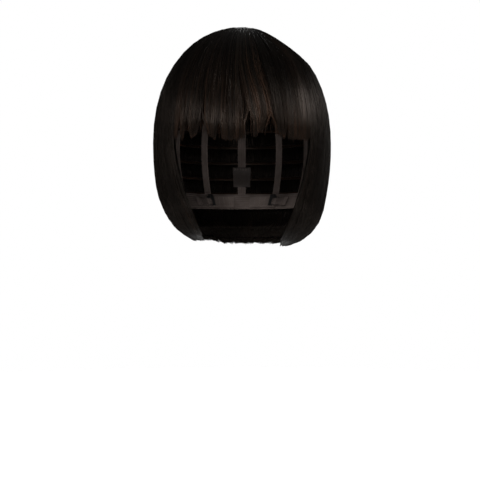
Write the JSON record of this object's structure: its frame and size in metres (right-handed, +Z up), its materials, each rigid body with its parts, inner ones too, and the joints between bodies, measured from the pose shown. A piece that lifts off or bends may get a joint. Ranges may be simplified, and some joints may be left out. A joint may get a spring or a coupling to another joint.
{
  "type": "costume wig",
  "caption": "Short dark bob wig with a straight full fringe: wefted hair on a stretch cap, with nape adjusters and bendable ear tabs.",
  "frame": {"origin": "middle of the head that wears the wig, at the level of the eyes", "axes": "+Z up, the face looks along -Y, +X is the wearer's left"},
  "size_m": [0.187, 0.2336, 0.2291],
  "materials": {
    "hair": "satin",
    "weft_hair": "satin",
    "teased_fibre": "matte",
    "cap_net": "matte",
    "velvet": "matte",
    "stretch_lace": "matte",
    "elastic": "matte",
    "tab_cloth": "matte",
    "stay_plastic": "satin",
    "ribbon": "matte",
    "hook_plastic": "gloss",
    "label_satin": "satin"
  },
  "bodies": {
    "cap": {"adjuster_strap_left": "elastic", "adjuster_strap_right": "elastic", "back_weft_1": "weft_hair", "back_weft_2": "weft_hair", "back_weft_3": "weft_hair", "back_weft_4": "weft_hair", "back_weft_5": "weft_hair", "back_weft_6": "weft_hair", "back_weft_7": "weft_hair", "back_weft_8": "weft_hair", "care_label": "label_satin", "crown_hair_back_left": "hair", "crown_hair_back_middle": "hair", "crown_hair_back_right": "hair", "crown_hair_front": "hair", "crown_hair_left": "hair", "crown_hair_right": "hair", "crown_patch": "cap_net", "crown_teasing": "teased_fibre", "ear_elastic_left": "elastic", "ear_elastic_right": "elastic", "fringe_weft_1": "weft_hair", "fringe_weft_2": "weft_hair", "fringe_weft_3": "weft_hair", "front_band": "velvet", "front_net_panel": "cap_net", "lace_tape_left": "stretch_lace", "lace_tape_middle": "stretch_lace", "lace_tape_right": "stretch_lace", "nape_band": "stretch_lace", "pocket_tape_left": "ribbon", "pocket_tape_right": "ribbon", "side_net_panel_left": "cap_net", "side_net_panel_right": "cap_net", "side_weft_left_1": "weft_hair", "side_weft_left_2": "weft_hair", "side_weft_left_3": "weft_hair", "side_weft_left_4": "weft_hair", "side_weft_left_5": "weft_hair", "side_weft_right_1": "weft_hair", "side_weft_right_2": "weft_hair", "side_weft_right_3": "weft_hair", "side_weft_right_4": "weft_hair", "side_weft_right_5": "weft_hair", "strap_anchor_left": "elastic", "strap_anchor_right": "elastic"},
    "adjuster_left": {"adjuster_hook_left": "hook_plastic"},
    "adjuster_right": {"adjuster_hook_right": "hook_plastic"},
    "ear_flap_left": {"ear_tab_left": "tab_cloth", "ear_stay_left": "stay_plastic"},
    "ear_flap_right": {"ear_tab_right": "tab_cloth", "ear_stay_right": "stay_plastic"}
  },
  "joints": [
    {"name": "adjust_left", "type": "hinge", "parent": "cap", "child": "adjuster_left", "pos_m": [0, 0.0263, -0.057], "axis": [0, 0, 1], "range_deg": [0, 21], "deforming": ["adjuster_strap_left"]},
    {"name": "adjust_right", "type": "hinge", "parent": "cap", "child": "adjuster_right", "pos_m": [0, 0.0263, -0.057], "axis": [0, 0, -1], "range_deg": [0, 21], "deforming": ["adjuster_strap_right"]},
    {"name": "bend_ear_tab_left", "type": "hinge", "parent": "cap", "child": "ear_flap_left", "pos_m": [0.07144, -0.02902, 0.0047], "axis": [0.2516, 0.9678, 0], "range_deg": [0, 20]},
    {"name": "bend_ear_tab_right", "type": "hinge", "parent": "cap", "child": "ear_flap_right", "pos_m": [-0.07144, -0.02902, 0.0047], "axis": [0.2516, -0.9678, 0], "range_deg": [0, 20]}
  ]
}
